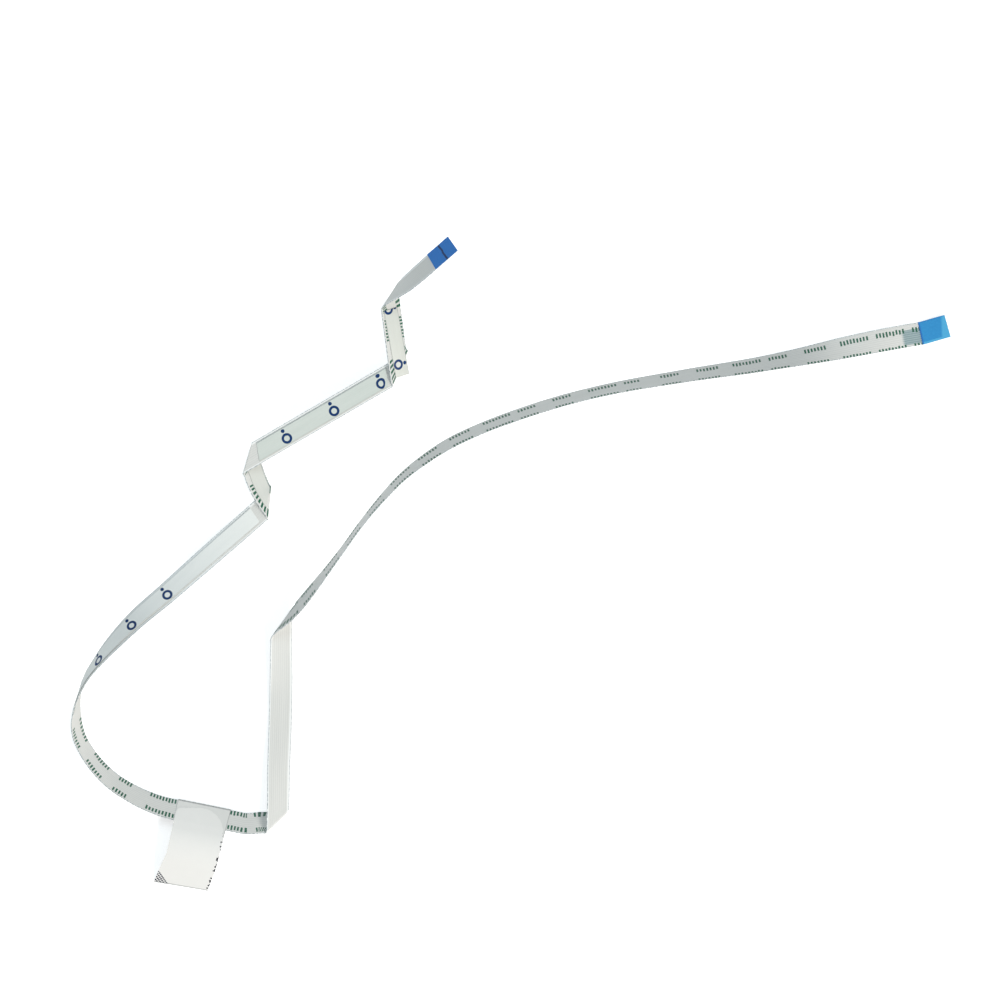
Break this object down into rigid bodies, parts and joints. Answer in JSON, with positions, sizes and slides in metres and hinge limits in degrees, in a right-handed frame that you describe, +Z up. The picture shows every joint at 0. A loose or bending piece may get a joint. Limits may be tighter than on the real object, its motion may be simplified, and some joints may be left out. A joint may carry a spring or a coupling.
{
  "type": "flat flex cable",
  "caption": "Thin flat flexible cable with parallel conductors, folded and lying loose, with blue end stiffeners, mounting tape strips and a flag label.",
  "frame": {"origin": "centre of the bounding box on the surface it lies on", "axes": "+Z up out of the surface, +X along the longest side of the lying cable, from the coiled side towards end B"},
  "size_m": [0.2109, 0.1567, 0.0145],
  "materials": {
    "film": "satin polyester film",
    "conductor": "tinned copper",
    "stiffener_a": "royal blue polyester",
    "stiffener_b": "light blue polyester",
    "tape": "double-sided tape",
    "liner": "glassine paper",
    "label_film": "clear film over a plain field",
    "label_panel": "white writing panel"
  },
  "bodies": {
    "root": {"printed_film": "film", "plain_film": "film", "conductor_01": "conductor", "conductor_02": "conductor", "conductor_03": "conductor", "conductor_04": "conductor", "conductor_05": "conductor", "conductor_06": "conductor", "conductor_07": "conductor", "conductor_08": "conductor", "conductor_09": "conductor", "conductor_10": "conductor", "stiffener_a": "stiffener_a", "stiffener_b": "stiffener_b", "tape_1": "tape", "liner_1": "liner", "tape_2": "tape", "liner_2": "liner", "tape_3": "tape", "liner_3": "liner", "tape_4": "tape", "liner_4": "liner", "label_film": "label_film", "label_panel": "label_panel"}
  },
  "joints": []
}
